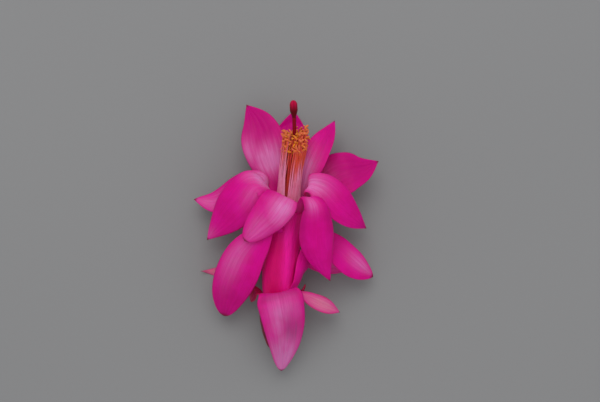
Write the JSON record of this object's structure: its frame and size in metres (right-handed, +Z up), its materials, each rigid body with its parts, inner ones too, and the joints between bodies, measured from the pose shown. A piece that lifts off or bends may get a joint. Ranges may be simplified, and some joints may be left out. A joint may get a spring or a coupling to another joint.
{
  "type": "thanksgiving cactus flower",
  "caption": "Picked cactus flower lying on its side: a slim ridged floral tube with pointed tepals folded back in whorls, a brush of stamens and a long style with a closed stigma.",
  "frame": {"origin": "on the surface the flower lies on, under the middle of its bounding box", "axes": "+Z up from the surface, +Y along the flower from its ovary to its stigma, +X to the right as seen from above with the stigma away from the viewer"},
  "size_m": [0.0556, 0.0806, 0.0229],
  "materials": {
    "ovary": "satin",
    "tube": "satin",
    "tepals": "satin",
    "style": "satin",
    "stigma": "satin",
    "stamens": "matte"
  },
  "bodies": {
    "root": {"ovary": "ovary", "floral_tube": "tube", "style": "style", "stigma": "stigma", "inner_stamens": "stamens", "outer_stamens": "stamens", "inner_tepal_top_left": "tepals", "inner_tepal_top_right": "tepals", "inner_tepal_left": "tepals", "inner_tepal_far_left": "tepals", "inner_tepal_front_left": "tepals", "inner_tepal_front_middle": "tepals", "inner_tepal_front_right": "tepals", "inner_tepal_far_right": "tepals", "inner_tepal_right": "tepals", "middle_tepal_left": "tepals", "middle_tepal_right": "tepals", "middle_tepal_under_left": "tepals", "middle_tepal_under_right": "tepals", "outer_tepal_top": "tepals", "outer_tepal_right": "tepals", "outer_tepal_left": "tepals", "outer_scale": "tepals", "outer_tepal_under_left": "tepals", "outer_tepal_under_right": "tepals"}
  },
  "joints": []
}
